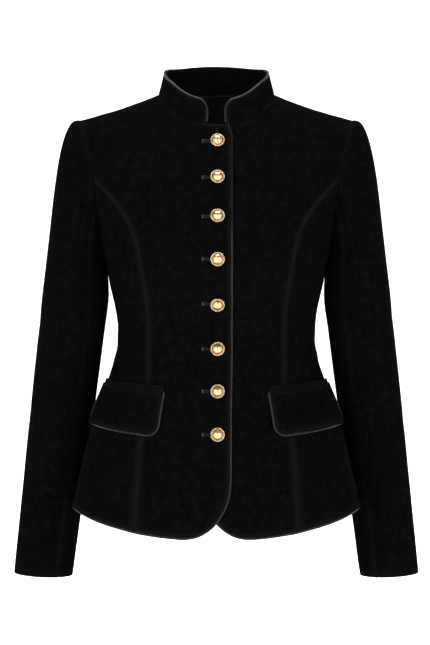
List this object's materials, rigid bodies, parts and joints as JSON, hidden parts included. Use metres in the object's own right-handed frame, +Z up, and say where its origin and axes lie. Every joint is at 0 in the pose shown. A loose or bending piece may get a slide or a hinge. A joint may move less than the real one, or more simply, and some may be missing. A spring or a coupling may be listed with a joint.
{
  "type": "trachten jacket",
  "caption": "Fitted hip-length jacket in its worn form, with stand collar, long set-in sleeves, flap pockets, piped edges and a row of domed buttons.",
  "frame": {"origin": "in the body's middle plane at the height of the side neck points, between the two shoulder seams that carry the jacket", "axes": "+Z up; the wearer faces -Y; the wearer's left side is at +X"},
  "size_m": [0.576, 0.2822, 0.7216],
  "materials": {
    "velvet": "short-pile cotton velvet, matt with a soft sheen at grazing angles",
    "lining": "smooth twill lining, satin",
    "piping": "smooth black leather over cord, semi-gloss",
    "button": "pressed and polished, with an aged rim"
  },
  "bodies": {
    "root": {"front_left": "velvet", "front_right": "velvet", "side_front_left": "velvet", "side_front_right": "velvet", "side_back_left": "velvet", "side_back_right": "velvet", "back_left": "velvet", "back_right": "velvet", "collar": "velvet", "back_neck_facing": "lining", "top_sleeve_left": "velvet", "top_sleeve_right": "velvet", "under_sleeve_left": "velvet", "under_sleeve_right": "velvet", "pocket_flap_left": "velvet", "pocket_flap_right": "velvet", "pocket_welt_left": "velvet", "pocket_welt_right": "velvet", "piping_front_left": "piping", "piping_front_right": "piping", "piping_back_hem": "piping", "piping_collar": "piping", "piping_flap_left": "piping", "piping_flap_right": "piping", "button_1": "button", "button_2": "button", "button_3": "button", "button_4": "button", "button_5": "button", "button_6": "button", "button_7": "button", "button_8": "button"}
  },
  "joints": []
}
